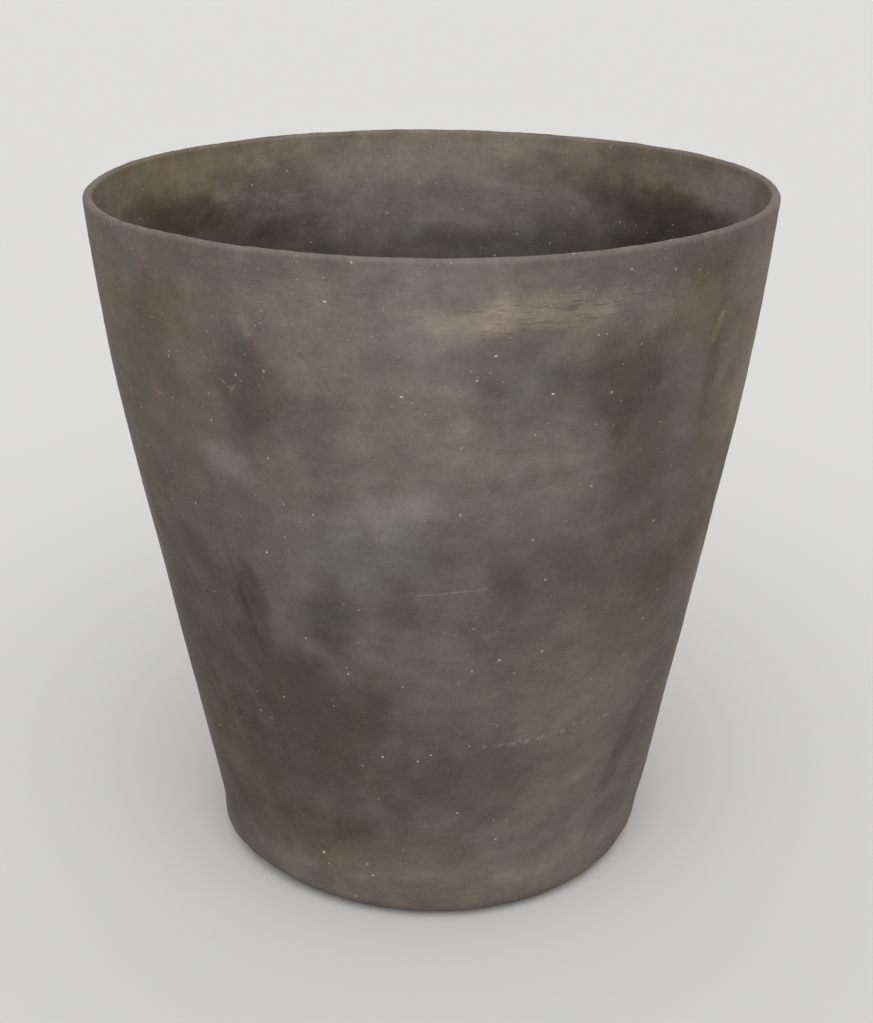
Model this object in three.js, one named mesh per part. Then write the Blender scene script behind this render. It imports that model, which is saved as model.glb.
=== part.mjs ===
// A large hand-built planter of smoke-fired black clay: a flat round base, a wall that leans out in
// a straight taper and then curves towards upright, and a thin rounded lip.
//
// The clay is worked up as four members that are luted together while they are leather-hard, and
// then fired: a base slab, a lower and an upper wall section, and the coil that ends in the rim.
// Each member is one solid. The narrow gap between neighbours is the layer of slip in the seam.
//
// Millimetres, +Z up. The origin is the centre of the underside, where the pot stands.
import * as THREE from "three";

// Outside of the pot.
const HEIGHT = 470;
const RIM_RADIUS = 225;
const FOOT_RADIUS = 152; // where the line of the taper meets the ground
const TAPER_TOP = 300; // the wall is straight up to here and curves above it
const RIM_LEAN = 0.07; // how far the wall still leans out at the rim, per mm of height
const FOOT_ROUND = 16;

// Thickness of the clay.
const LIP_THICKNESS = 6;
const FOOT_THICKNESS = 13; // of the wall, at the ground
const SLAB_THICKNESS = 18;
const CORNER_ROUND = 12; // where the clay is smoothed from the floor into the wall

// Hole in the middle of the base that lets water out.
const DRAIN_RADIUS = 15;
const DRAIN_BEVEL = 2;

// Seams between the members. A bevelled seam falls towards the inside of the pot, so the upper
// member tucks into the lower one.
const WALL_SEAM = 300; // height of the seam on the outside
const RIM_SEAM = 428;
const SEAM_FALL = 7;
const SLIP_GAP = 0.3;

// Fineness of the round shapes.
const AROUND = 96;
const CORNER_STEPS = 6;
const LIP_STEPS = 8;
const CURVED_STEPS = 5;

const LIP_CENTRE_Z = HEIGHT - LIP_THICKNESS / 2;
const CURVED_HEIGHT = LIP_CENTRE_Z - TAPER_TOP;
const BEND =
  (RIM_RADIUS - FOOT_RADIUS - RIM_LEAN * LIP_CENTRE_Z) /
  (CURVED_HEIGHT * (2 * LIP_CENTRE_Z - CURVED_HEIGHT));
const TAPER_LEAN = RIM_LEAN + 2 * BEND * CURVED_HEIGHT;

function outerRadius(z) {
  const aboveTaper = Math.max(z - TAPER_TOP, 0);
  return FOOT_RADIUS + TAPER_LEAN * z - BEND * aboveTaper ** 2;
}

function innerRadius(z) {
  return outerRadius(z) - THREE.MathUtils.lerp(FOOT_THICKNESS, LIP_THICKNESS, z / LIP_CENTRE_Z);
}

// Points along one face of the wall, as (radius, height).
function wallFace(radiusAt, fromZ, toZ, steps) {
  return Array.from({ length: steps + 1 }, (_, i) => {
    const z = THREE.MathUtils.lerp(fromZ, toZ, i / steps);
    return new THREE.Vector2(radiusAt(z), z);
  });
}

// Arc that rounds the corner between a level face and the wall face above it.
function cornerArc(radiusAt, levelZ, round) {
  const centreZ = levelZ + round;
  const lean = radiusAt(centreZ) - radiusAt(centreZ - 1);
  const centreRadius = radiusAt(centreZ) - round * Math.hypot(1, lean);
  const arc = new THREE.EllipseCurve(
    centreRadius, centreZ, round, round, -Math.PI / 2, -Math.atan(lean));
  return arc.getPoints(CORNER_STEPS);
}

// Turns a closed outline of (radius, height) points into a ring about the pot's axis. The outline
// runs up the outside, inwards, and down the inside.
function ring(name, outline, color, roughness) {
  const geometry = new THREE.LatheGeometry([...outline, outline[0]], AROUND);
  geometry.rotateX(Math.PI / 2);
  const material = new THREE.MeshStandardMaterial({ color, roughness, metalness: 0 });
  const mesh = new THREE.Mesh(geometry, material);
  mesh.name = name;
  return mesh;
}

function baseSlab() {
  const drainEdge = DRAIN_RADIUS + DRAIN_BEVEL;
  const outline = [
    new THREE.Vector2(DRAIN_RADIUS, DRAIN_BEVEL),
    new THREE.Vector2(drainEdge, 0),
    ...cornerArc(outerRadius, 0, FOOT_ROUND),
    new THREE.Vector2(outerRadius(SLAB_THICKNESS), SLAB_THICKNESS),
    new THREE.Vector2(drainEdge, SLAB_THICKNESS),
    new THREE.Vector2(DRAIN_RADIUS, SLAB_THICKNESS - DRAIN_BEVEL),
  ];
  return ring("base_slab", outline, 0x5d564e, 0.9);
}

// The lower section stands on the margin of the slab, and its inside foot is smoothed into a round.
function lowerWall() {
  const bottom = SLAB_THICKNESS + SLIP_GAP;
  const outline = [
    new THREE.Vector2(outerRadius(bottom), bottom),
    new THREE.Vector2(outerRadius(WALL_SEAM), WALL_SEAM),
    new THREE.Vector2(innerRadius(WALL_SEAM - SEAM_FALL), WALL_SEAM - SEAM_FALL),
    ...cornerArc(innerRadius, bottom, CORNER_ROUND).reverse(),
  ];
  return ring("lower_wall", outline, 0x625b54, 0.88);
}

function upperWall() {
  const bottom = WALL_SEAM + SLIP_GAP;
  const outline = [
    ...wallFace(outerRadius, bottom, RIM_SEAM, CURVED_STEPS),
    ...wallFace(innerRadius, RIM_SEAM - SEAM_FALL, bottom - SEAM_FALL, CURVED_STEPS),
  ];
  return ring("upper_wall", outline, 0x6f6862, 0.88);
}

function rimCoil() {
  const bottom = RIM_SEAM + SLIP_GAP;
  const lipRound = LIP_THICKNESS / 2;
  const lip = new THREE.EllipseCurve(
    RIM_RADIUS - lipRound, LIP_CENTRE_Z, lipRound, lipRound, 0, Math.PI);
  const outline = [
    new THREE.Vector2(outerRadius(bottom), bottom),
    ...lip.getPoints(LIP_STEPS),
    new THREE.Vector2(innerRadius(bottom - SEAM_FALL), bottom - SEAM_FALL),
  ];
  return ring("rim_coil", outline, 0x756d67, 0.86);
}

const pot = new THREE.Group();
pot.add(baseSlab(), lowerWall(), upperWall(), rimCoil());

export default pot;
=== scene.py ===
"""Looks of a large hand-built planter of smoke-fired black clay.

The surface of the clay is one closed grid. It runs up the outside, over the lip, down the inside,
across the floor, through the drain hole, and back along the underside. Relief and colour, the
colour being smoke with some painted light, shade and reflection, are worked out on the whole grid,
which is then split at the seams into the four members of the frame, so both run on unbroken from
one member to the next.

Sizes on the surface are in millimetres. Angles go round the pot from its front, -Y, towards +X.
"""
import functools
import itertools
import math

import bpy
import numpy as np
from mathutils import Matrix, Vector


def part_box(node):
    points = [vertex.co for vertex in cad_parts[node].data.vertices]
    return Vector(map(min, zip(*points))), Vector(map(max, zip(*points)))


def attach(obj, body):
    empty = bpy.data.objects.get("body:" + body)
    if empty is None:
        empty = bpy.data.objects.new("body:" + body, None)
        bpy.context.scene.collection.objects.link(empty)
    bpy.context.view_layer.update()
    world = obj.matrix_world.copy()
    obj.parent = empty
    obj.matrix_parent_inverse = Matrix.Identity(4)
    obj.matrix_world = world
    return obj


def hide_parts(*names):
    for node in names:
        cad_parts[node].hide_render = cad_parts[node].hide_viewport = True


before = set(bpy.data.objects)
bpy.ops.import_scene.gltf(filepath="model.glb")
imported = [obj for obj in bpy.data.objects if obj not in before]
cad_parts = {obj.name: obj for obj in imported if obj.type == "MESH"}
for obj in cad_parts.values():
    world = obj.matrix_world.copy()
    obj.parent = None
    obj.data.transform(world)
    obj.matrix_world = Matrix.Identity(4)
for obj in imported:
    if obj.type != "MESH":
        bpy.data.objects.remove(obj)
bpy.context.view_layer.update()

MM = 0.001

# ---------------------------------------------------------------------------------------------
# Sizes, in millimetres
# ---------------------------------------------------------------------------------------------


def top_of(node):
    """Radius and height of a member's upper outer edge."""
    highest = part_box(node)[1]
    return highest.x / MM, highest.z / MM


SLAB_RADIUS, SLAB_TOP = top_of("base_slab")
WALL_SEAM_RADIUS, WALL_SEAM = top_of("lower_wall")
RIM_SEAM = top_of("upper_wall")[1]
RIM_RADIUS, HEIGHT = top_of("rim_coil")

LIP_THICKNESS = 6.0
FOOT_THICKNESS = 13.0
LIP_CENTRE = HEIGHT - LIP_THICKNESS / 2
SEAM_FALL = 7.0  # a wall seam is this much lower on the inside
FOOT_ROUND = 16.0
CORNER_ROUND = 12.0
DRAIN_RADIUS = 15.0
DRAIN_ROUND = 2.5

TAPER_LEAN = (WALL_SEAM_RADIUS - SLAB_RADIUS) / (WALL_SEAM - SLAB_TOP)
BEND = (
    SLAB_RADIUS + TAPER_LEAN * (LIP_CENTRE - SLAB_TOP) - RIM_RADIUS
) / (LIP_CENTRE - WALL_SEAM) ** 2

BAND_BOTTOM = 433.0  # the paler band inside the rim reaches down to here
SOOT_TOP = 412.0  # the inside is sooty below this

AROUND = 600  # grid columns round the pot
RAGGED_SIZE = 22.0  # of the unevenness of a patch's edge
PATCH_SEED = 400


def outer_radius(z):
    """Radius of the outside: a straight taper that bends towards upright above the wall seam."""
    return SLAB_RADIUS + TAPER_LEAN * (z - SLAB_TOP) - BEND * np.maximum(z - WALL_SEAM, 0) ** 2


def inner_radius(z):
    thickness = FOOT_THICKNESS + (LIP_THICKNESS - FOOT_THICKNESS) * z / LIP_CENTRE
    return outer_radius(z) - thickness


# ---------------------------------------------------------------------------------------------
# Noise and masks
# ---------------------------------------------------------------------------------------------


def smooth_step(start, end, value):
    t = np.clip((value - start) / (end - start), 0, 1)
    return t * t * (3 - 2 * t)


LATTICE = 256  # noise repeats after this many units
NOISE_SPAN = 1.6  # stretches the noise to about -1 to 1


def lattice_noise(points, seed):
    """Smooth random values, about -1 to 1, at an array of points, with one hill or dip a unit."""
    random = np.random.default_rng(seed)
    order = random.permutation(LATTICE)
    slopes = random.normal(size=(LATTICE, 3))
    slopes /= np.linalg.norm(slopes, axis=1, keepdims=True)
    slopes = slopes.T.copy()
    cell = np.floor(points).astype(int)
    local = points - cell
    fade = local ** 3 * (local * (local * 6 - 15) + 10)
    total = 0
    for corner in itertools.product((0, 1), repeat=3):
        column, row, layer = [cell[..., axis] + corner[axis] for axis in range(3)]
        pick = order[column % LATTICE]
        pick = order[(pick + row) % LATTICE]
        pick = order[(pick + layer) % LATTICE]
        part = sum(slopes[axis][pick] * (local[..., axis] - corner[axis]) for axis in range(3))
        for axis in range(3):
            part = part * (fade[..., axis] if corner[axis] else 1 - fade[..., axis])
        total = total + part
    return total * NOISE_SPAN


def fractal(points, size, seed, octaves=3):
    """Layers of noise, the largest with features of about size millimetres along each axis."""
    total = 0
    for octave in range(octaves):
        total = total + lattice_noise(points / size * 2 ** octave, seed + octave) / 2 ** octave
    return total


# ---------------------------------------------------------------------------------------------
# The grid of the whole surface
# ---------------------------------------------------------------------------------------------


def steps(start, end, spacing):
    """Values from start up to, and without, end."""
    return np.linspace(start, end, math.ceil(abs(end - start) / spacing), endpoint=False)


def arc(centre_r, centre_z, radius, start, end, spacing):
    """Points on an arc in the meridian plane, without its end point."""
    angles = steps(start, end, spacing / radius)
    return centre_r + radius * np.cos(angles), centre_z + radius * np.sin(angles)


def corner_centre(radius_at, level, radius):
    """Centre radius of a round that touches a level face and the wall face above it."""
    middle = level + radius
    lean = radius_at(middle) - radius_at(middle - 1)
    return radius_at(middle) - radius * math.hypot(1, lean), math.atan(lean)


def wall(radius_at, start, end, spacing):
    z = steps(start, end, spacing)
    return radius_at(z), z


def level(start, end, z, spacing):
    r = steps(start, end, spacing)
    return r, np.full_like(r, z)


def section_stretches():
    """The closed outline of the clay in stretches, each a list of (radii, heights).

    The last number of each line is the spacing of its grid rows.
    """
    lip = LIP_THICKNESS / 2
    foot_r, foot_lean = corner_centre(outer_radius, 0, FOOT_ROUND)
    foot_top = FOOT_ROUND * (1 - math.sin(foot_lean))
    floor_r, floor_lean = corner_centre(inner_radius, SLAB_TOP, CORNER_ROUND)
    floor_top = SLAB_TOP + CORNER_ROUND * (1 - math.sin(floor_lean))
    hole = DRAIN_RADIUS + DRAIN_ROUND
    quarter = math.pi / 2
    return {
        "lower_outside": [wall(outer_radius, SLAB_TOP, WALL_SEAM, 2.8)],
        "upper_outside": [wall(outer_radius, WALL_SEAM, RIM_SEAM, 2.4)],
        "rim": [
            wall(outer_radius, RIM_SEAM, LIP_CENTRE, 1.9),
            arc(RIM_RADIUS - lip, LIP_CENTRE, lip, 0, math.pi, 0.8),
            wall(inner_radius, LIP_CENTRE, RIM_SEAM - SEAM_FALL, 1.9),
        ],
        "upper_inside": [wall(inner_radius, RIM_SEAM - SEAM_FALL, WALL_SEAM - SEAM_FALL, 2.8)],
        "lower_inside": [
            wall(inner_radius, WALL_SEAM - SEAM_FALL, floor_top, 5.0),
            arc(floor_r, SLAB_TOP + CORNER_ROUND, CORNER_ROUND, -floor_lean, -quarter, 2.5),
        ],
        "base": [
            level(floor_r, hole, SLAB_TOP, 4.0),
            arc(hole, SLAB_TOP - DRAIN_ROUND, DRAIN_ROUND, quarter, 2 * quarter, 1.0),
            wall(lambda z: 0 * z + DRAIN_RADIUS, SLAB_TOP - DRAIN_ROUND, DRAIN_ROUND, 2.0),
            arc(hole, DRAIN_ROUND, DRAIN_ROUND, 2 * quarter, 3 * quarter, 1.0),
            level(hole, foot_r, 0.0, 4.0),
            arc(foot_r, FOOT_ROUND, FOOT_ROUND, -quarter, -foot_lean, 2.0),
            wall(outer_radius, foot_top, SLAB_TOP, 1.5),
        ],
    }


STRETCHES = section_stretches()
ROW_R = np.concatenate([r for parts in STRETCHES.values() for r, _ in parts])
ROW_Z = np.concatenate([z for parts in STRETCHES.values() for _, z in parts])
ROWS = len(ROW_R)


def stretch_rows(name):
    """Indices of a stretch's rows, with the first row of the next stretch at the end."""
    start = 0
    for other, parts in STRETCHES.items():
        count = sum(len(r) for r, _ in parts)
        if other == name:
            return [row % ROWS for row in range(start, start + count + 1)]
        start += count


def along(values):
    """Central difference from row to row round the closed outline."""
    return np.roll(values, -1, axis=0) - np.roll(values, 1, axis=0)


TANGENT = np.hypot(along(ROW_R), along(ROW_Z))
NORMAL_R = (along(ROW_Z) / TANGENT)[:, None]
NORMAL_Z = (-along(ROW_R) / TANGENT)[:, None]
ANGLE = (np.arange(AROUND) / AROUND * 2 - 1)[None, :] * math.pi
RADIUS = ROW_R[:, None] + 0 * ANGLE
LEVEL = ROW_Z[:, None] + 0 * ANGLE
PLACE = np.stack([RADIUS * np.sin(ANGLE), -RADIUS * np.cos(ANGLE), LEVEL], axis=-1)

# How much each row belongs to a face of the pot, from 0 to 1.
HIGH = ROW_Z[:, None] > HEIGHT / 2  # tells the lip from the floor
OUTSIDE = np.maximum(NORMAL_R, 0) * (RADIUS > 2 * DRAIN_RADIUS)
INSIDE = np.maximum(-NORMAL_R, 0) * (RADIUS > 2 * DRAIN_RADIUS)
LIP = np.maximum(NORMAL_Z, 0) * HIGH
FLOOR = np.maximum(NORMAL_Z, 0) * ~HIGH
UNDERSIDE = np.maximum(-NORMAL_Z, 0)


def patch(angle, height, half_width, half_height, tilt=0.0, edge=0.5, ragged=0.25, seed=0):
    """A soft-edged oval on the wall, 1 in its middle: its place is in degrees and millimetres."""
    turn = (ANGLE - math.radians(angle) + math.pi) % (2 * math.pi) - math.pi
    across = turn * RADIUS
    up = LEVEL - height
    cosine, sine = math.cos(math.radians(tilt)), math.sin(math.radians(tilt))
    reach = np.hypot(
        (across * cosine + up * sine) / half_width, (up * cosine - across * sine) / half_height
    )
    near = reach < 3
    reach[near] += ragged * fractal(PLACE[near], RAGGED_SIZE, PATCH_SEED + seed)
    return 1 - smooth_step(1 - edge, 1 + edge, reach)


# ---------------------------------------------------------------------------------------------
# Relief, in millimetres along the surface's own normal. The factor in front of a noise or a patch
# is its height, and the second value of fractal() is the size of its features.
# ---------------------------------------------------------------------------------------------


def bump_at(angle, width):
    """A smooth swelling round the pot, 1 at an angle and fading over a width, both in degrees."""
    turn = (np.degrees(ANGLE) - angle + 180) % 360 - 180
    return np.exp(-((turn / width) ** 2))


def strokes(tilt, length, width, seed):
    """Noise drawn out along one direction on the wall, as a scraper or a hand leaves it."""
    across = ANGLE * RADIUS
    cosine, sine = math.cos(math.radians(tilt)), math.sin(math.radians(tilt))
    drawn = np.stack(
        [
            (across * cosine + LEVEL * sine) / length,
            (LEVEL * cosine - across * sine) / width,
            0 * across,
        ],
        axis=-1,
    )
    return lattice_noise(drawn, seed)


def arcs(angle, height, spacing, seed):
    """Bent ridges round a point on the wall, as a hand leaves when it swings."""
    turn = (ANGLE - math.radians(angle) + math.pi) % (2 * math.pi) - math.pi
    reach = np.hypot(turn * RADIUS, 1.6 * (LEVEL - height))
    ridges = np.sin(reach / spacing * 2 * math.pi + 4.0 * fractal(PLACE, 26.0, seed))
    return ridges * smooth_step(-0.5, 0.5, fractal(PLACE, 24.0, seed + 3))


SCRAPING_TILT = -66.0  # degrees from level

# Unevenness of the whole wall from building, scraping and wiping it.
flattened = PLACE * [1 / 70, 1 / 70, 1 / 5.5]
swell = 0.55 * fractal(PLACE, 150.0, 1) + 0.22 * fractal(PLACE, 60.0, 11)
scraping = 0.1 * fractal(PLACE, 19.0, 21)
wiping = 0.07 * fractal(flattened, 1.0, 31)

# Marks on the front: a torn patch with a curl of clay under the rim, a flake, creases, scrapes.
torn = patch(16, 437, 52, 10, tilt=3, edge=0.5, ragged=0.4, seed=1)
torn_lines = lattice_noise(PLACE * [1 / 16, 1 / 16, 1 / 2.9], 81)
curl = patch(11.5, 437, 7, 1.7, tilt=-14, edge=0.5, ragged=0)
flake = patch(50, 411, 4, 16, tilt=-24, edge=0.45, ragged=0.1)
crease = patch(50, 106, 2.2, 27, tilt=-24, edge=0.6, ragged=0.15, seed=2)
second_crease = patch(46, 108, 1.6, 22, tilt=-20, edge=0.7, ragged=0.2, seed=3)
left_crease = patch(-37, 240, 1.8, 30, tilt=12, edge=0.6, ragged=0.2, seed=10)
scraped_left = patch(-44, 185, 42, 120, tilt=14, edge=0.5, ragged=0.3, seed=4)
left_scrapes = strokes(SCRAPING_TILT, 70, 5.5, 91)

outside_relief = swell + scraping + wiping
outside_relief += torn * (0.25 + 0.4 * torn_lines) + 0.8 * curl + 0.45 * flake
outside_relief -= 0.8 * crease + 0.5 * second_crease + 0.6 * left_crease
outside_relief += 0.22 * scraped_left * left_scrapes

# The foot: fuller at the right of the front, worn in at the far right and under the left.
outside_relief += 1.6 * bump_at(24, 30) * (1 - smooth_step(8, 30, LEVEL))
outside_relief -= 1.5 * bump_at(72, 20) * (1 - smooth_step(20, 60, LEVEL))
outside_relief += 2.4 * bump_at(-70, 22) * np.exp(-(((LEVEL - 12) / 8) ** 2))
outside_relief -= 3.0 * bump_at(-58, 24) * (1 - smooth_step(2, 14, LEVEL))
outside_relief += 0.5 * fractal(PLACE, 24.0, 55) * (1 - smooth_step(6, 26, LEVEL))

# The inside: smooth in the band under the rim, swept by a hand below it, then finger turns.
below_band = 1 - smooth_step(-5, 5, LEVEL - BAND_BOTTOM - 8 * fractal(PLACE, 60.0, 65))
swept = arcs(-138, 400, 12.0, 71) * patch(-142, 412, 75, 24, ragged=0.3, seed=5)
swept += arcs(112, 428, 14.0, 75) * patch(120, 430, 60, 22, ragged=0.3, seed=6)
finger_turns = np.sin(LEVEL / 25.0 * 2 * math.pi + ANGLE + 1.6 * fractal(PLACE, 90.0, 47))
inside_relief = 1.1 * swell + 0.2 * fractal(PLACE, 34.0, 41) + wiping
inside_relief += 0.3 * finger_turns * (1 - smooth_step(360, 410, LEVEL))
inside_relief += below_band * (0.35 + 0.24 * swept + 0.18 * fractal(PLACE, 16.0, 45))

# The lip, the floor inside with its turned ripples, the underside and the drain hole.
ripples = np.sin(RADIUS / 9.0 * 2 * math.pi + ANGLE + 1.5 * fractal(PLACE, 70.0, 85))
relief = outside_relief * OUTSIDE + inside_relief * INSIDE
relief += 0.25 * fractal(PLACE, 11.0, 51) * LIP
relief += (0.35 * ripples + 0.3 * fractal(PLACE, 40.0, 61)) * FLOOR
relief -= 0.35 * np.abs(fractal(PLACE, 26.0, 95)) * UNDERSIDE
relief += 0.5 * fractal(PLACE, 12.0, 98) * (RADIUS < DRAIN_RADIUS + 2 * DRAIN_ROUND)

# The rim is a little thicker and thinner by turns, and doesn't run quite level.
lip_swell = 0.35 * lattice_noise(PLACE / 38.0, 57)
rim_lift = 1.1 * bump_at(-38, 26) - 1.0 * bump_at(138, 34) + 0.5 * lattice_noise(PLACE / 85.0, 58)
near_rim = smooth_step(HEIGHT - 90, HEIGHT - 4, LEVEL)
relief += lip_swell * smooth_step(HEIGHT - 14, HEIGHT - 4, LEVEL)

surface_r = RADIUS + NORMAL_R * relief
surface_z = np.maximum(LEVEL + NORMAL_Z * relief + rim_lift * near_rim, 0)
SURFACE = np.stack([surface_r * np.sin(ANGLE), -surface_r * np.cos(ANGLE), surface_z], axis=-1)


def grid_normals(points):
    round_the_pot = np.roll(points, -1, axis=1) - np.roll(points, 1, axis=1)
    normals = np.cross(round_the_pot, along(points))
    return normals / np.linalg.norm(normals, axis=-1, keepdims=True)


NORMALS = grid_normals(SURFACE)

# ---------------------------------------------------------------------------------------------
# Smoke colour, with some painted light, shade and reflection
# ---------------------------------------------------------------------------------------------

# Linear red, green and blue of evenly smoked clay, and the two ways its tint drifts.
CLAY_COLOUR = np.array([0.116, 0.0985, 0.0848])
WARM = np.array([0.045, 0.0, -0.055])
OLIVE = np.array([-0.003, 0.0, -0.07])

# The clouds on the pot, mostly of smoke, with painted shade and reflection where marked. Each is an
# angle and a height for its middle, its half width, half height and tilt, and then how much
# lighter, warmer and more olive it is. Lightness is the natural logarithm of a factor. Places are
# as seen from the front.
UPPER_CLOUDS = [
    (-9, 422, 92, 50, 0, 0.30, 0.3, 0.0),  # pale pinkish area under the rim
    (2, 352, 66, 40, 0, 0.26, 0.2, 0.0),  # its continuation down the middle
    (-9, 315, 38, 13, 8, 0.24, -1.0, 0.2),  # bright cool wisp
    (-13, 290, 52, 22, 0, 0.16, -1.3, 0.4),  # bluish area under the wisp
    (-35, 338, 20, 14, -30, 0.28, -0.6, 0.4),  # small pale cloud, left
    (-26, 268, 16, 28, -12, 0.06, -0.4, 0.6),  # pale arm that runs down from it
    (-28, 388, 24, 34, -4, -0.38, 0.6, 0.0),  # dark patch, upper left
    (-25, 345, 20, 38, 0, 0.17, 0.6, 0.0),  # paler clay below the dark patch
    (31, 393, 28, 28, 0, -0.40, 1.2, 0.1),  # dark patch, upper right
    (36, 340, 24, 46, 0, -0.34, 1.1, 0.2),  # its tail down the right side
    (14, 404, 42, 17, -8, -0.20, -1.2, 0.2),  # bluish shade under the torn patch
    (17, 437, 58, 11, 3, 0.38, 0.6, 0.4),  # torn patch
    (26, 414, 32, 16, 0, 0.27, 0.5, 0.2),  # paler clay right of the torn patch
    (2, 434, 28, 13, 0, 0.14, 0.4, 0.2),  # and left of it
    (45, 428, 26, 24, 0, 0.0, 1.3, 1.2),  # brown corner under the rim, right
    (50, 388, 7, 34, 0, -0.24, 0.5, 0.6),  # dark upright streak, right
    (57, 330, 40, 110, 0, -0.05, 0.3, 1.3),  # right side, its olive tint a painted reflection of green surroundings
    (-55, 400, 22, 30, 0, -0.12, 0.6, 1.0),  # brown left shoulder
    (21, 330, 28, 42, 0, 0.12, -0.2, 0.2),  # pale area right of the middle
    (-45, 428, 26, 18, 0, -0.14, 1.0, 0.6),  # brown corner under the rim, left
    (-62, 390, 30, 95, 0, -0.02, 0.0, 2.2),  # left side, its olive tint a painted reflection of green surroundings
    (68, 390, 42, 100, 0, 0.24, 0.2, 1.4),  # paler far right, its olive tint a painted reflection of green surroundings
    (-47, 330, 26, 50, 0, -0.10, 0.1, 0.6),  # darker left side
    (2, 381, 24, 9, 0, -0.13, 0.0, 0.0),  # thin dark bar in the middle
    (14, 457, 42, 12, 0, 0.16, 0.2, 0.0),  # pale clay at the lip
    (47, 454, 34, 13, 0, -0.24, 0.9, 0.4),  # dark clay at the lip, right
    (47, 304, 18, 24, 0, -0.14, 0.2, 0.0),
    (-47, 390, 14, 26, 0, -0.14, 0.3, 0.2),
    (-36, 286, 24, 12, 0, -0.12, 0.1, 0.0),
]

LOWER_CLOUDS = [
    (-20, 243, 18, 18, 0, -0.34, -0.2, 0.3),  # three dark spots in the middle
    (-5, 250, 12, 16, 0, -0.17, 0.4, 0.0),
    (13, 268, 11, 13, 0, -0.22, 0.4, 0.2),
    (34, 262, 64, 38, 0, -0.22, 0.6, 0.3),  # dark area right of them
    (49, 252, 26, 18, 0, -0.20, 0.8, 0.5),
    (-30, 146, 70, 64, 0, -0.50, 1.6, 0.0),  # big warm brown cloud, lower left
    (-10, 176, 20, 26, -40, -0.06, 0.4, 0.0),
    (-35, 243, 11, 32, 8, -0.38, 0.9, 0.0),  # dark streak by the left crease
    (-46, 264, 28, 11, -20, -0.22, 0.5, 0.4),
    (8, 116, 54, 30, 5, -0.28, 0.3, 0.1),  # dark area low in the middle
    (30, 190, 62, 48, 0, 0.16, -0.2, 1.5),  # olive grey, right
    (-3, 215, 36, 26, 0, 0.10, -0.2, 0.8),  # pale area under the long scratch
    (30, 102, 44, 32, 0, 0.12, 0.0, 1.0),  # olive area above the foot, right
    (48, 112, 9, 30, -22, -0.26, 0.3, 0.6),  # shade of the creases
    (4, 34, 130, 22, 0, 0.24, 0.2, 0.7),  # pale foot
    (-34, 62, 48, 22, 0, -0.26, 0.9, 0.9),  # brown area above the foot, left
    (-62, 70, 26, 30, 0, -0.22, 0.2, 0.0),
    (-8, 62, 50, 18, 0, -0.16, 0.3, 0.6),
    (-56, 170, 46, 120, 0, -0.22, 0.3, 0.4),  # darker left side
    (44, 214, 34, 34, 0, -0.22, 0.2, 0.6),
    (-40, 226, 30, 34, 0, -0.12, 0.3, 0.4),
    (-53, 100, 44, 58, 0, -0.04, 0.9, 0.6),  # rusty patch, lower left
    (-60, 225, 30, 120, 0, -0.14, 0.0, 1.6),  # left side, its olive tint a painted reflection of green surroundings
    (0, 24, 64, 10, 0, -0.18, 0.0, 0.0),  # dark band along the foot, painted shade near the floor
    (35, 26, 34, 14, 0, 0.16, 0.1, 0.0),
    (-50, 76, 26, 16, 0, -0.15, 0.2, 0.0),
    (23, 208, 48, 22, 0, -0.11, 0.1, 0.0),
    (58, 165, 24, 70, 0, -0.16, 0.2, 0.0),
    (-64, 236, 18, 50, 0, -0.14, 0.2, 0.0),
    (-48, 150, 12, 18, 0, 0.03, 0.2, 0.0),
    (-18, 186, 22, 14, -30, 0.10, 0.0, 0.0),
    (20, 30, 14, 8, 0, 0.20, 0.0, 0.2),
    (37, 52, 12, 12, 0, 0.06, 0.0, 0.2),
    (33, 106, 10, 7, 0, 0.18, 0.0, 0.3),
]

# Wide faint changes over the clouds above.
FAINT_CLOUDS = [
    (0, 440, 34, 44, 0, 0.05, -0.9, 0.0),
    (-43, 410, 40, 78, 0, 0.03, 1.0, 0.1),
    (14, 408, 20, 16, 0, 0.10, -0.2, 0.0),
    (2, 236, 90, 74, 0, -0.03, -0.5, 0.0),
    (-55, 38, 40, 26, 0, -0.13, 0.2, 0.0),
]

# Clouds with a sharper edge.
CRISP_CLOUDS = [
    (-23, 168, 46, 40, -38, -0.14, 0.5, 0.0),  # slanting edge of the brown cloud
    (-18, 244, 12, 13, 20, -0.07, 0.0, 0.0),  # cores of the dark spots
    (-5, 249, 8, 11, 15, -0.06, 0.2, 0.0),
    (-28, 390, 20, 28, 0, -0.12, 0.2, 0.0),  # cores of the two dark patches
    (31, 392, 24, 26, 0, -0.12, 0.2, 0.0),
    (-34, 248, 8, 26, 10, -0.14, 0.2, 0.0),
    (-36, 340, 14, 8, -30, 0.07, -0.1, 0.0),  # cores of the pale clouds
    (-7, 317, 26, 6, 10, 0.06, -0.2, 0.0),
    (34, 104, 12, 6, 0, 0.12, 0.0, 0.0),  # pale rubbed clay, lower right
    (50, 410, 4, 12, -22, 0.48, 0.2, 0.3),  # the flake
    (17, 436, 40, 6, 3, 0.10, 0.3, 0.0),  # middle of the torn patch
    (38, 50, 9, 8, 0, 0.14, 0.0, 0.0),
    (35, 431, 13, 8, 0, 0.20, 0.5, 0.3),
    (-28, 426, 3, 9, 22, 0.24, -0.3, 0.0),  # small white smear
    (-31, 412, 12, 14, 0, 0.05, -0.9, 0.0),
]
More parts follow.
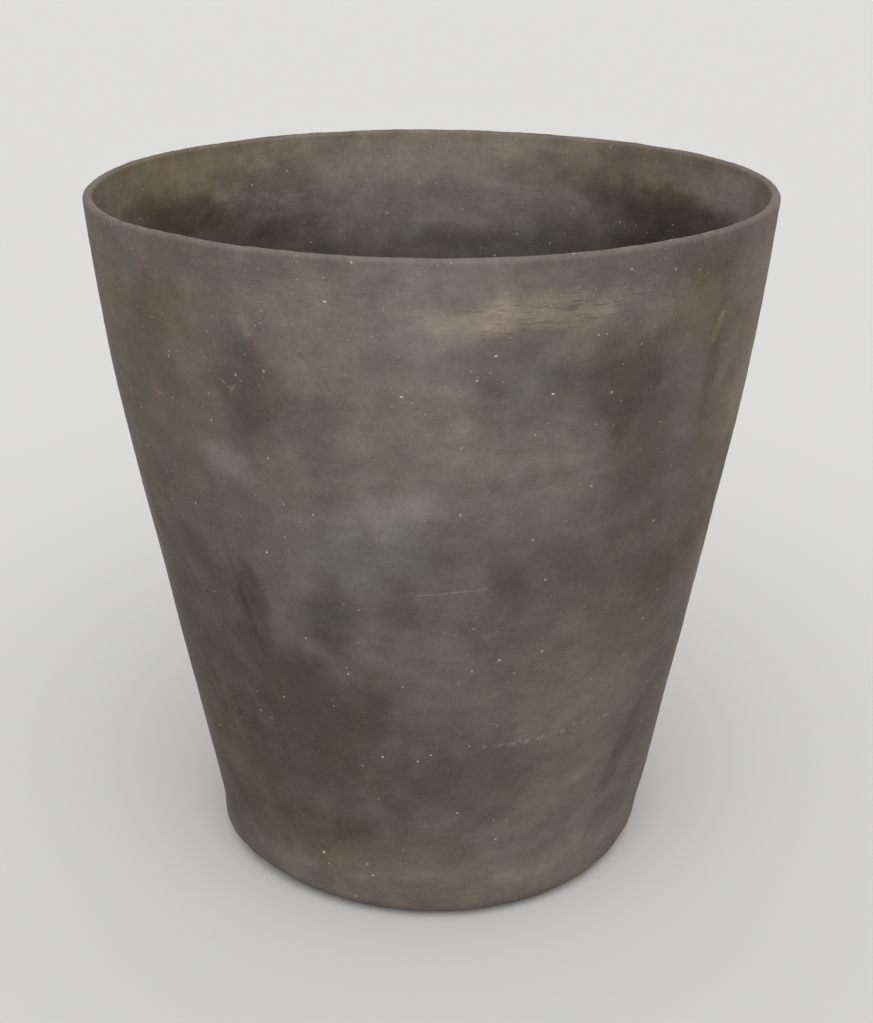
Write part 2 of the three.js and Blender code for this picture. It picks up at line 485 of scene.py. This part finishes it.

# The same inside the rim, where 180 degrees is the back. The paler ones are partly painted light,
# which makes the inside brighter than the lamps leave it.
INSIDE_CLOUDS = [
    (180, 436, 130, 50, 0, 0.46, 0.0, 0.0),  # pale grey back
    (122, 422, 58, 15, 4, -0.62, 1.3, 0.4),  # dark crescent, right
    (106, 450, 44, 16, 0, 0.28, -0.6, -1.2),  # paler band, right
    (140, 432, 36, 16, 4, -0.30, 0.4, 0.2),
    (-119, 424, 57, 14, 3, -0.50, 1.4, 1.8),  # dark crescent, left
    (-150, 412, 34, 16, 0, -0.08, 0.2, 0.4),
    (-112, 437, 34, 8, 0, -0.30, 0.4, 0.2),
    (158, 440, 44, 12, 0, -0.18, 0.0, 0.0),
    (-144, 438, 40, 10, 0, -0.24, 0.0, 0.0),
    (130, 408, 34, 17, 0, -0.36, 0.2, 0.0),
    (174, 389, 44, 8, 0, -0.20, 0.0, 0.0),
    (124, 462, 60, 12, 0, -0.06, -0.2, 0.2),
    (-118, 456, 70, 16, 0, 0.10, 1.5, 1.2),  # brown band, left
    (148, 448, 46, 18, 0, -0.09, 0.0, 0.0),
    (-142, 398, 44, 9, 0, -0.22, 0.2, 0.0),
    (130, 394, 44, 12, 0, -0.34, 0.3, 0.0),
    (184, 412, 104, 26, 0, -0.10, -0.9, 0.0),  # cool grey middle
    (-158, 455, 48, 12, 0, -0.15, 0.1, 0.0),
]

CRISP_INSIDE_CLOUDS = [
    (122, 433, 48, 9, 5, -0.20, 0.2, 0.4),  # edges of the crescents
    (-133, 412, 42, 7, 4, -0.10, 0.3, 0.4),
    (-150, 404, 28, 5, -8, -0.14, 0.2, 0.2),
    (170, 421, 40, 5, 2, -0.06, 0.0, 0.0),
]

BACK_CLOUDS = 34
SOFT_EDGE = 0.55
CRISP_EDGE = 0.22
CLOUD_RAGGED = 0.45


def cloud_sum(clouds, first_seed, edge=SOFT_EDGE):
    """Lightness, warmth and olive tint of a list of clouds, added up over the grid."""
    total = np.zeros(RADIUS.shape + (3,))
    for number, (angle, height, half_width, half_height, tilt, *amounts) in enumerate(clouds):
        seed = first_seed + number
        mask = patch(angle, height, half_width, half_height, tilt, edge, CLOUD_RAGGED, seed)
        total += mask[..., None] * amounts
    return total


def drawn_clouds(count, seed):
    """Clouds of the same kinds at random places on the sides and the back, which aren't seen."""
    random = np.random.default_rng(seed)
    clouds = []
    for _ in range(count):
        angle = random.uniform(72, 288)
        height = random.uniform(20, 455)
        half_width = random.uniform(18, 75)
        half_height = half_width * random.uniform(0.35, 1.0)
        tilt = random.uniform(-40, 40)
        lightness = random.normal(0, 0.25)
        warmth = random.normal(0.4 - lightness, 0.6)
        olive = random.uniform(0, 1.4)
        clouds.append(
            (angle, height, half_width, half_height, tilt, lightness, warmth, olive))
    return clouds


def outside_tint():
    """Lightness, warmth and olive tint of the outside."""
    tint = cloud_sum(UPPER_CLOUDS + LOWER_CLOUDS + FAINT_CLOUDS, 20)
    tint += cloud_sum(CRISP_CLOUDS, 100, CRISP_EDGE)
    tint += cloud_sum(drawn_clouds(BACK_CLOUDS, 7), 120)
    tint += 0.5 * cloud_sum(drawn_clouds(BACK_CLOUDS // 2, 9), 160, CRISP_EDGE)
    # The scrapes on the left are lighter where they stand up, and the left crease is darker, as
    # painted shade.
    tint[..., 0] += 0.12 * scraped_left * left_scrapes - 0.3 * left_crease
    return tint


def inside_tint():
    """The same for the inside: a paler band under the rim, partly painted light, and soot that is
    thinner at the back.
    """
    tint = cloud_sum(INSIDE_CLOUDS, 80) + cloud_sum(CRISP_INSIDE_CLOUDS, 90, CRISP_EDGE)
    band = 1 - below_band
    towards_back = bump_at(180, 30)
    ragged = 12 * (1 - 0.7 * towards_back) * fractal(PLACE, 60.0, 131)
    above_soot = LEVEL - SOOT_TOP + 16 * towards_back - ragged
    sooty = 1 - smooth_step(-30 - 24 * towards_back, 14, above_soot)
    sootiness = 0.34 + 0.38 * smooth_step(250, 380, LEVEL)
    # The band is paler partly in its clay and partly by painted light, which makes the inside
    # brighter than the lamps leave it.
    tint[..., 0] += (0.34 - 0.22 * towards_back) * band - sootiness * sooty
    tint[..., 1] += (0.6 - 1.3 * towards_back) * sooty
    tint[..., 2] += (1.9 - 1.4 * towards_back) * band
    return tint


def smoke_and_painted_light_colour():
    tint = outside_tint() * OUTSIDE[..., None] + inside_tint() * INSIDE[..., None]
    drift = 0.075 * fractal(PLACE, 95.0, 101) + 0.035 * fractal(PLACE, 30.0, 111, 4)
    # The lip is paler at the front, partly with pale chips and partly with a painted highlight, and
    # darker towards the back.
    lip_chips_and_highlight = 0.14 - 0.34 * bump_at(180, 80)
    lightness = tint[..., 0] + drift * (1 - 0.4 * INSIDE) + lip_chips_and_highlight * LIP
    lightness -= 0.45 * FLOOR + 0.1 * UNDERSIDE
    tint_drift = fractal(PLACE, 70.0, 121)
    warmth = tint[..., 1] + 0.5 * tint_drift
    olive = tint[..., 2] - 0.4 * tint_drift
    hue = warmth[..., None] * WARM + olive[..., None] * OLIVE
    colour = CLAY_COLOUR * np.exp(lightness[..., None] + hue)
    return np.concatenate([colour, np.ones(RADIUS.shape + (1,))], axis=-1)


COLOUR = smoke_and_painted_light_colour()

# Where the clay was dragged while it was stiff, which leaves fine ragged tears.
DRAG = 0.75 * torn + 0.35 * patch(33, 448, 60, 14, ragged=0.5, seed=7)
DRAG += 0.4 * patch(-16, 448, 70, 9, ragged=0.5, seed=8) + 0.35 * scraped_left
DRAG += 0.3 * patch(-8, 150, 60, 26, ragged=0.5, seed=9)
DRAG = np.clip(DRAG * OUTSIDE + 0.15 * below_band * near_rim * INSIDE + 0.6 * LIP, 0, 1)

# Where a scraper has left fine steep lines: the left of the front, and places all round the wall.
SCRAPED = scraped_left + 0.7 * smooth_step(0.25, 0.8, fractal(PLACE, 110.0, 141))
SCRAPED = np.clip(SCRAPED * OUTSIDE, 0, 1)

# ---------------------------------------------------------------------------------------------
# Meshes
# ---------------------------------------------------------------------------------------------


def member_mesh(name, rows):
    """A closed ring from rows of the grid, in order round its own section."""
    rows = np.array(rows)
    count = len(rows)
    inner, outer = np.meshgrid(np.arange(count), np.arange(AROUND), indexing="ij")
    next_inner, next_outer = (inner + 1) % count, (outer + 1) % AROUND
    quads = np.stack(
        [
            inner * AROUND + outer,
            inner * AROUND + next_outer,
            next_inner * AROUND + next_outer,
            next_inner * AROUND + outer,
        ],
        axis=-1,
    ).reshape(-1, 4)
    mesh = bpy.data.meshes.new(name)
    mesh.from_pydata((SURFACE[rows].reshape(-1, 3) * MM).tolist(), [], quads.tolist())
    mesh.shade_smooth()
    # The colour holds the smoke together with the painted light, shade and reflection worked out
    # above.
    colours = mesh.attributes.new("smoke", "FLOAT_COLOR", "POINT")
    colours.data.foreach_set("color", COLOUR[rows].astype(np.float32).ravel())
    for attribute, values in (("drag", DRAG), ("scraped", SCRAPED)):
        amounts = mesh.attributes.new(attribute, "FLOAT", "POINT")
        amounts.data.foreach_set("value", values[rows].astype(np.float32).ravel())
    # The faces of a seam join rows that aren't neighbours in the whole grid. They are shaded flat.
    seam_faces = ((rows[next_inner] - rows[inner]) % ROWS != 1).ravel()
    corner_normals = NORMALS[rows].reshape(-1, 3)[quads]
    flat_normals = np.array([polygon.normal for polygon in mesh.polygons])
    corner_normals[seam_faces] = flat_normals[seam_faces][:, None, :]
    mesh.normals_split_custom_set(corner_normals.reshape(-1, 3).tolist())
    return mesh


def add_member(name, node, rows):
    piece = bpy.data.objects.new(name, member_mesh(name, rows))
    bpy.context.scene.collection.objects.link(piece)
    piece.data.materials.append(CLAY)
    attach(piece, "root")
    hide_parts(node)


# ---------------------------------------------------------------------------------------------
# Materials
# ---------------------------------------------------------------------------------------------


def new_material(name):
    material = bpy.data.materials.new(name)
    material.use_nodes = True
    return material


MARK_COLOUR = (0.36, 0.33, 0.29, 1)
GRAIN_COLOUR = (0.54, 0.48, 0.39, 1)
BUMP_HEIGHT = 0.35
SCRAPE_LENGTH = 30.0  # of one line, and the distance between them
SCRAPE_WIDTH = 1.7
SCRATCH_RADIUS = 200.0  # the wall is unrolled at this radius for scratches and scraper lines

# Pale scratches on the wall, from one angle and height to another, and how wide they are.
SCRATCHES = [
    ((-2.5, 262), (9.5, 266), 0.8),
    ((-33.5, 391), (-31.5, 385.5), 1.1),
    ((-31.0, 389), (-31.8, 384), 1.1),
    ((37.5, 148), (40.5, 148.5), 1.2),
]

# A rubbed chalky line, in the same form.
CHALK_LINE = ((11, 145.5), (29, 147), 2.4)

# Chalky grains on the wall: an angle, a height and a radius.
CHALK_GRAINS = [
    (-27, 46, 1.3),
    (-14.5, 35, 1.0),
    (9, 415, 0.8),
    (18, 390, 0.7),
    (-4.4, 392, 0.7),
    (-29.5, 280, 0.8),
    (12.5, 213, 0.8),
    (-10.2, 138, 0.8),
    (-15, 445, 0.8),
]


class NodeMaker:
    """Short ways to add nodes whose inputs are numbers or other nodes' outputs."""

    def __init__(self, tree):
        self.tree = tree

    def add(self, kind, **settings):
        node = self.tree.nodes.new(kind)
        for setting, value in settings.items():
            setattr(node, setting, value)
        return node

    def feed(self, node, values):
        for key, value in values.items():
            if isinstance(value, bpy.types.NodeSocket):
                self.tree.links.new(value, node.inputs[key])
            else:
                node.inputs[key].default_value = value
        return node

    def math(self, operation, *values):
        node = self.feed(self.add("ShaderNodeMath", operation=operation), dict(enumerate(values)))
        return node.outputs[0]

    def vector(self, operation, *values, out="Vector"):
        node = self.add("ShaderNodeVectorMath", operation=operation)
        return self.feed(node, dict(enumerate(values))).outputs[out]

    def combine(self, operation, values):
        """Several values joined by one operation, from the first to the last."""
        return functools.reduce(lambda total, value: self.math(operation, total, value), values)

    def attribute(self, name, output="Fac"):
        return self.add("ShaderNodeAttribute", attribute_name=name).outputs[output]

    def ramp(self, value, low, high, new_low=0.0, new_high=1.0):
        node = self.add("ShaderNodeMapRange", interpolation_type="SMOOTHSTEP")
        return self.feed(node, {0: value, 1: low, 2: high, 3: new_low, 4: new_high}).outputs[0]

    def noise(self, place, size, detail=3.0, stretch=(1, 1, 1)):
        """Noise from 0 to 1 with features of about size millimetres, times stretch per axis."""
        scale = tuple(1 / (size * MM * axis) for axis in stretch)
        node = self.add("ShaderNodeTexNoise")
        moved = self.vector("MULTIPLY", place, scale)
        return self.feed(node, {"Vector": moved, "Scale": 1.0, "Detail": detail}).outputs["Fac"]

    def grains(self, place, spacing, smallest, largest):
        """Round grains bedded in the clay: 1 inside a grain, 0 outside, sizes in millimetres."""
        node = self.feed(
            self.add("ShaderNodeTexVoronoi"), {"Vector": place, "Scale": 1 / (spacing * MM)})
        chance = self.vector("DOT_PRODUCT", node.outputs["Color"], (1, 0, 0), out="Value")
        rare = self.math("POWER", chance, 2.5)
        radius = self.ramp(rare, 0.0, 1.0, smallest / spacing, largest / spacing)
        inner = self.math("MULTIPLY", radius, 0.55)
        return self.ramp(node.outputs["Distance"], radius, inner)

    def scratch(self, flat_place, start, end, width):
        """A thin line on the wall between two points of angle in degrees and height in mm."""
        first = Vector((math.radians(start[0]) * SCRATCH_RADIUS * MM, start[1] * MM, 0))
        reach = Vector((math.radians(end[0]) * SCRATCH_RADIUS * MM, end[1] * MM, 0)) - first
        offset = self.vector("SUBTRACT", flat_place, tuple(first))
        share = self.vector("DOT_PRODUCT", offset, tuple(reach / reach.length_squared), out="Value")
        share = self.math("MINIMUM", self.math("MAXIMUM", share, 0.0), 1.0)
        nearest = self.add("ShaderNodeVectorMath", operation="SCALE")
        self.feed(nearest, {0: tuple(reach), "Scale": share})
        distance = self.vector("DISTANCE", offset, nearest.outputs[0], out="Value")
        return self.ramp(distance, width * MM, 0.3 * width * MM)


def unrolled_wall(make, place):
    """The wall laid flat, as distance round the pot and height, and the height on its own."""
    parts = make.feed(make.add("ShaderNodeSeparateXYZ"), {0: place})
    backward = make.math("MULTIPLY", parts.outputs["Y"], -1.0)
    turn = make.math("ARCTAN2", parts.outputs["X"], backward)
    across = make.math("MULTIPLY", turn, SCRATCH_RADIUS * MM)
    flat = make.feed(make.add("ShaderNodeCombineXYZ"), {0: across, 1: parts.outputs["Z"]})
    return flat.outputs[0], parts.outputs["Z"]


def wobble(make, place):
    """A small offset that keeps scratches from running dead straight."""
    node = make.add("ShaderNodeTexNoise")
    make.feed(node, {"Vector": place, "Scale": 1 / (9 * MM), "Detail": 2.0})
    centred = make.vector("SUBTRACT", node.outputs["Color"], (0.5, 0.5, 0.5))
    return make.vector("MULTIPLY", centred, (1.8 * MM, 1.8 * MM, 0))


def scraper_grain(make, flat):
    """Noise drawn out along the steep lines that a scraper leaves."""
    steep = math.radians(SCRAPING_TILT)
    length, width = SCRAPE_LENGTH * MM, SCRAPE_WIDTH * MM
    down = (math.cos(steep) / length, math.sin(steep) / length, 0)
    sideways = (-math.sin(steep) / width, math.cos(steep) / width, 0)
    drawn = make.add("ShaderNodeCombineXYZ")
    for axis, direction in enumerate((down, sideways)):
        make.feed(drawn, {axis: make.vector("DOT_PRODUCT", flat, direction, out="Value")})
    return make.noise(drawn.outputs[0], 1 / MM, 2.0)


def hue_drift(make, place):
    """A colour close to white that wanders in hue over a centimetre or so."""
    node = make.add("ShaderNodeTexNoise")
    make.feed(node, {"Vector": place, "Scale": 1 / (12 * MM), "Detail": 3.0})
    return make.vector(
        "MULTIPLY_ADD", node.outputs["Color"], (0.11, 0.09, 0.13), (0.945, 0.955, 0.935))


def mixed(make, share, colour, other_colour):
    node = make.add("ShaderNodeMix", data_type="RGBA")
    return make.feed(node, {0: share, 6: colour, 7: other_colour}).outputs[2]


def clay_material():
    material = new_material("smoked_clay")
    make = NodeMaker(material.node_tree)
    place = make.add("ShaderNodeTexCoord").outputs["Object"]
    flat, up = unrolled_wall(make, place)
    drag, scraped = make.attribute("drag"), make.attribute("scraped")

    # Grain of the clay and the streaks left by wiping it: feature size in millimetres, detail.
    mottle = make.noise(place, 17.0, 4.0)
    grain = make.noise(place, 1.3, 2.0)
    coarse_grain = make.noise(place, 3.6, 2.0)
    streaks = make.noise(place, 6.0, 3.0, stretch=(9, 9, 0.8))
    hairs = make.noise(place, 1.4, 1.0, stretch=(22, 22, 1))
    smears = make.noise(place, 24.0, 5.0, stretch=(1.6, 1.6, 0.7))

    # Pale grog, which shows most near the rim, and pits where grains have come out.
    rim_side = make.ramp(up, 0.25, 0.45, 0.45, 1.0)
    small_grains = make.math("MULTIPLY", make.grains(place, 3.6, 0.10, 0.62), rim_side)
    pale_grains = make.math("MAXIMUM", small_grains, make.grains(place, 8.5, 0.2, 1.1))
    pits = make.grains(make.vector("ADD", place, (0.5, 0.3, 0.7)), 6.0, 0.12, 0.7)

    # Tears and crumbs where stiff clay was dragged, and a scraper's dark and pale lines.
    torn_grain = make.noise(place, 1.9, 3.0, stretch=(6, 6, 1))
    tears = make.math("MULTIPLY", make.ramp(torn_grain, 0.55, 0.66), drag)
    crumb_grain = make.noise(place, 1.7, 2.0, stretch=(2.4, 2.4, 1))
    crumbs = make.math("MULTIPLY", make.ramp(crumb_grain, 0.42, 0.30), drag)
    scrape_grain = scraper_grain(make, flat)
    dark_lines = make.math("MULTIPLY", make.ramp(scrape_grain, 0.54, 0.70), scraped)
    pale_lines = make.math("MULTIPLY", make.ramp(scrape_grain, 0.42, 0.28), scraped)

    # Scratches, the chalky line and the large chalky grains.
    shaken = make.vector("ADD", flat, wobble(make, place))
    scratches = make.combine("MAXIMUM", [make.scratch(shaken, *line) for line in SCRATCHES])
    worn = make.ramp(coarse_grain, 0.34, 0.52, 0.25, 1.0)
    scratches = make.math("MULTIPLY", scratches, worn)
    chalk = make.math(
        "MULTIPLY", make.scratch(shaken, *CHALK_LINE), make.ramp(coarse_grain, 0.5, 0.62))
    pale_marks = make.math("MAXIMUM", scratches, chalk)
    spots = make.combine("MAXIMUM", [
        make.scratch(shaken, (angle, height), (angle + 0.2, height), radius)
        for angle, height, radius in CHALK_GRAINS
    ])

    # Each detail, the part of its range that counts, and the clay's lightness at its two ends.
    shade = make.combine("MULTIPLY", [make.ramp(*row) for row in (
        (mottle, 0.25, 0.75, 0.91, 1.09),
        (grain, 0.2, 0.8, 0.93, 1.07),
        (coarse_grain, 0.2, 0.8, 0.93, 1.07),
        (streaks, 0.2, 0.8, 0.965, 1.035),
        (hairs, 0.2, 0.8, 0.975, 1.025),
        (smears, 0.44, 0.56, 0.955, 1.045),
        (pits, 0.0, 1.0, 1.0, 0.72),
        (tears, 0.0, 1.0, 1.0, 0.76),
        (crumbs, 0.0, 1.0, 1.0, 1.3),
        (dark_lines, 0.0, 1.0, 1.0, 0.84),
        (pale_lines, 0.0, 1.0, 1.0, 1.15),
    )])
    # The grid's colour: smoke, with some painted light, shade and reflection.
    tinted = make.vector("MULTIPLY", make.attribute("smoke", "Color"), hue_drift(make, place))
    clay = make.add("ShaderNodeVectorMath", operation="SCALE")
    make.feed(clay, {0: tinted, "Scale": shade})
    mark_share = make.math("MULTIPLY", pale_marks, 0.22)
    grain_share = make.math(
        "MAXIMUM", make.math("MULTIPLY", pale_grains, 0.46), make.math("MULTIPLY", spots, 0.9))
    marked = mixed(make, mark_share, clay.outputs[0], MARK_COLOUR)
    speckled = mixed(make, grain_share, marked, GRAIN_COLOUR)

    # How far each detail stands out of the surface, as a share of the bump's height.
    height = make.combine("ADD", [make.math("MULTIPLY", value, amount) for value, amount in (
        (grain, 0.22),
        (coarse_grain, 0.4),
        (streaks, 0.25),
        (hairs, 0.08),
        (pits, -0.5),
        (pale_grains, 0.12),
        (pale_marks, -0.25),
        (tears, -1.0),
        (crumbs, 0.6),
        (dark_lines, -0.5),
        (pale_lines, 0.3),
    )])
    bump = make.feed(make.add("ShaderNodeBump"), {"Height": height, "Distance": BUMP_HEIGHT * MM})

    roughness = make.ramp(make.math("ADD", mottle, streaks), 0.7, 1.3, 0.70, 0.88)
    make.feed(material.node_tree.nodes["Principled BSDF"], {
        "Base Color": speckled,
        "Roughness": roughness,
        "Normal": bump.outputs[0],
        "Specular IOR Level": 0.3,
    })
    return material


CLAY = clay_material()

add_member("base_slab_clay", "base_slab", stretch_rows("base"))
add_member(
    "lower_wall_clay", "lower_wall", stretch_rows("lower_outside") + stretch_rows("lower_inside"))
add_member(
    "upper_wall_clay", "upper_wall", stretch_rows("upper_outside") + stretch_rows("upper_inside"))
add_member("rim_coil_clay", "rim_coil", stretch_rows("rim"))

# ---------------------------------------------------------------------------------------------
# Studio
# ---------------------------------------------------------------------------------------------

FLOOR_SIZE = 60.0
FLOOR_COLOUR = (0.55, 0.55, 0.545, 1)
AIR_COLOUR = (1.0, 0.99, 0.98, 1)
AIR_STRENGTH = 0.69
CAMERA_DISTANCE = 1.0555
CAMERA_HEIGHT = 0.6628
CAMERA_PITCH = math.radians(22.02)
CAMERA_LENS = 56.3
CAMERA_SENSOR = 36.0
CAMERA_SHIFT = 0.0048

# Name, azimuth, elevation and spread, and strength. Angles are in degrees, azimuth as for the pot.
SOFT_LAMPS = [
    ("key_lamp", 3, 52, 70, 2.0),
    ("left_lamp", -140, 50, 70, 0.25),
    ("right_lamp", 140, 50, 70, 0.25),
]


def floor_material():
    material = new_material("studio_floor")
    inputs = material.node_tree.nodes["Principled BSDF"].inputs
    inputs["Base Color"].default_value = FLOOR_COLOUR
    inputs["Roughness"].default_value = 0.9
    inputs["Specular IOR Level"].default_value = 0.2
    return material


def add_floor():
    half = FLOOR_SIZE / 2
    corners = [(-half, -half, 0), (half, -half, 0), (half, half, 0), (-half, half, 0)]
    mesh = bpy.data.meshes.new("studio_floor")
    mesh.from_pydata(corners, [], [(0, 1, 2, 3)])
    floor = bpy.data.objects.new("studio_floor", mesh)
    floor.data.materials.append(floor_material())
    bpy.context.scene.collection.objects.link(floor)


def add_soft_lamp(name, azimuth, elevation, spread, strength):
    """Even light from a wide part of the room."""
    light = bpy.data.lights.new(name, "SUN")
    light.angle = math.radians(spread)
    light.energy = strength
    lamp = bpy.data.objects.new(name, light)
    lamp.rotation_euler = (math.radians(90 - elevation), 0, math.radians(azimuth))
    bpy.context.scene.collection.objects.link(lamp)


def add_world():
    world = bpy.data.worlds.new("studio_air")
    world.use_nodes = True
    background = world.node_tree.nodes["Background"]
    background.inputs["Color"].default_value = AIR_COLOUR
    background.inputs["Strength"].default_value = AIR_STRENGTH
    bpy.context.scene.world = world


def add_camera():
    data = bpy.data.cameras.new("camera")
    data.sensor_width = CAMERA_SENSOR
    data.lens = CAMERA_LENS
    data.shift_x = CAMERA_SHIFT
    camera = bpy.data.objects.new("camera", data)
    camera.location = (0, -CAMERA_DISTANCE, CAMERA_HEIGHT)
    camera.rotation_euler = (math.pi / 2 - CAMERA_PITCH, 0, 0)
    bpy.context.scene.collection.objects.link(camera)
    bpy.context.scene.camera = camera


add_floor()
add_world()
for lamp_settings in SOFT_LAMPS:
    add_soft_lamp(*lamp_settings)
add_camera()
bpy.context.scene.view_settings.view_transform = "Standard"
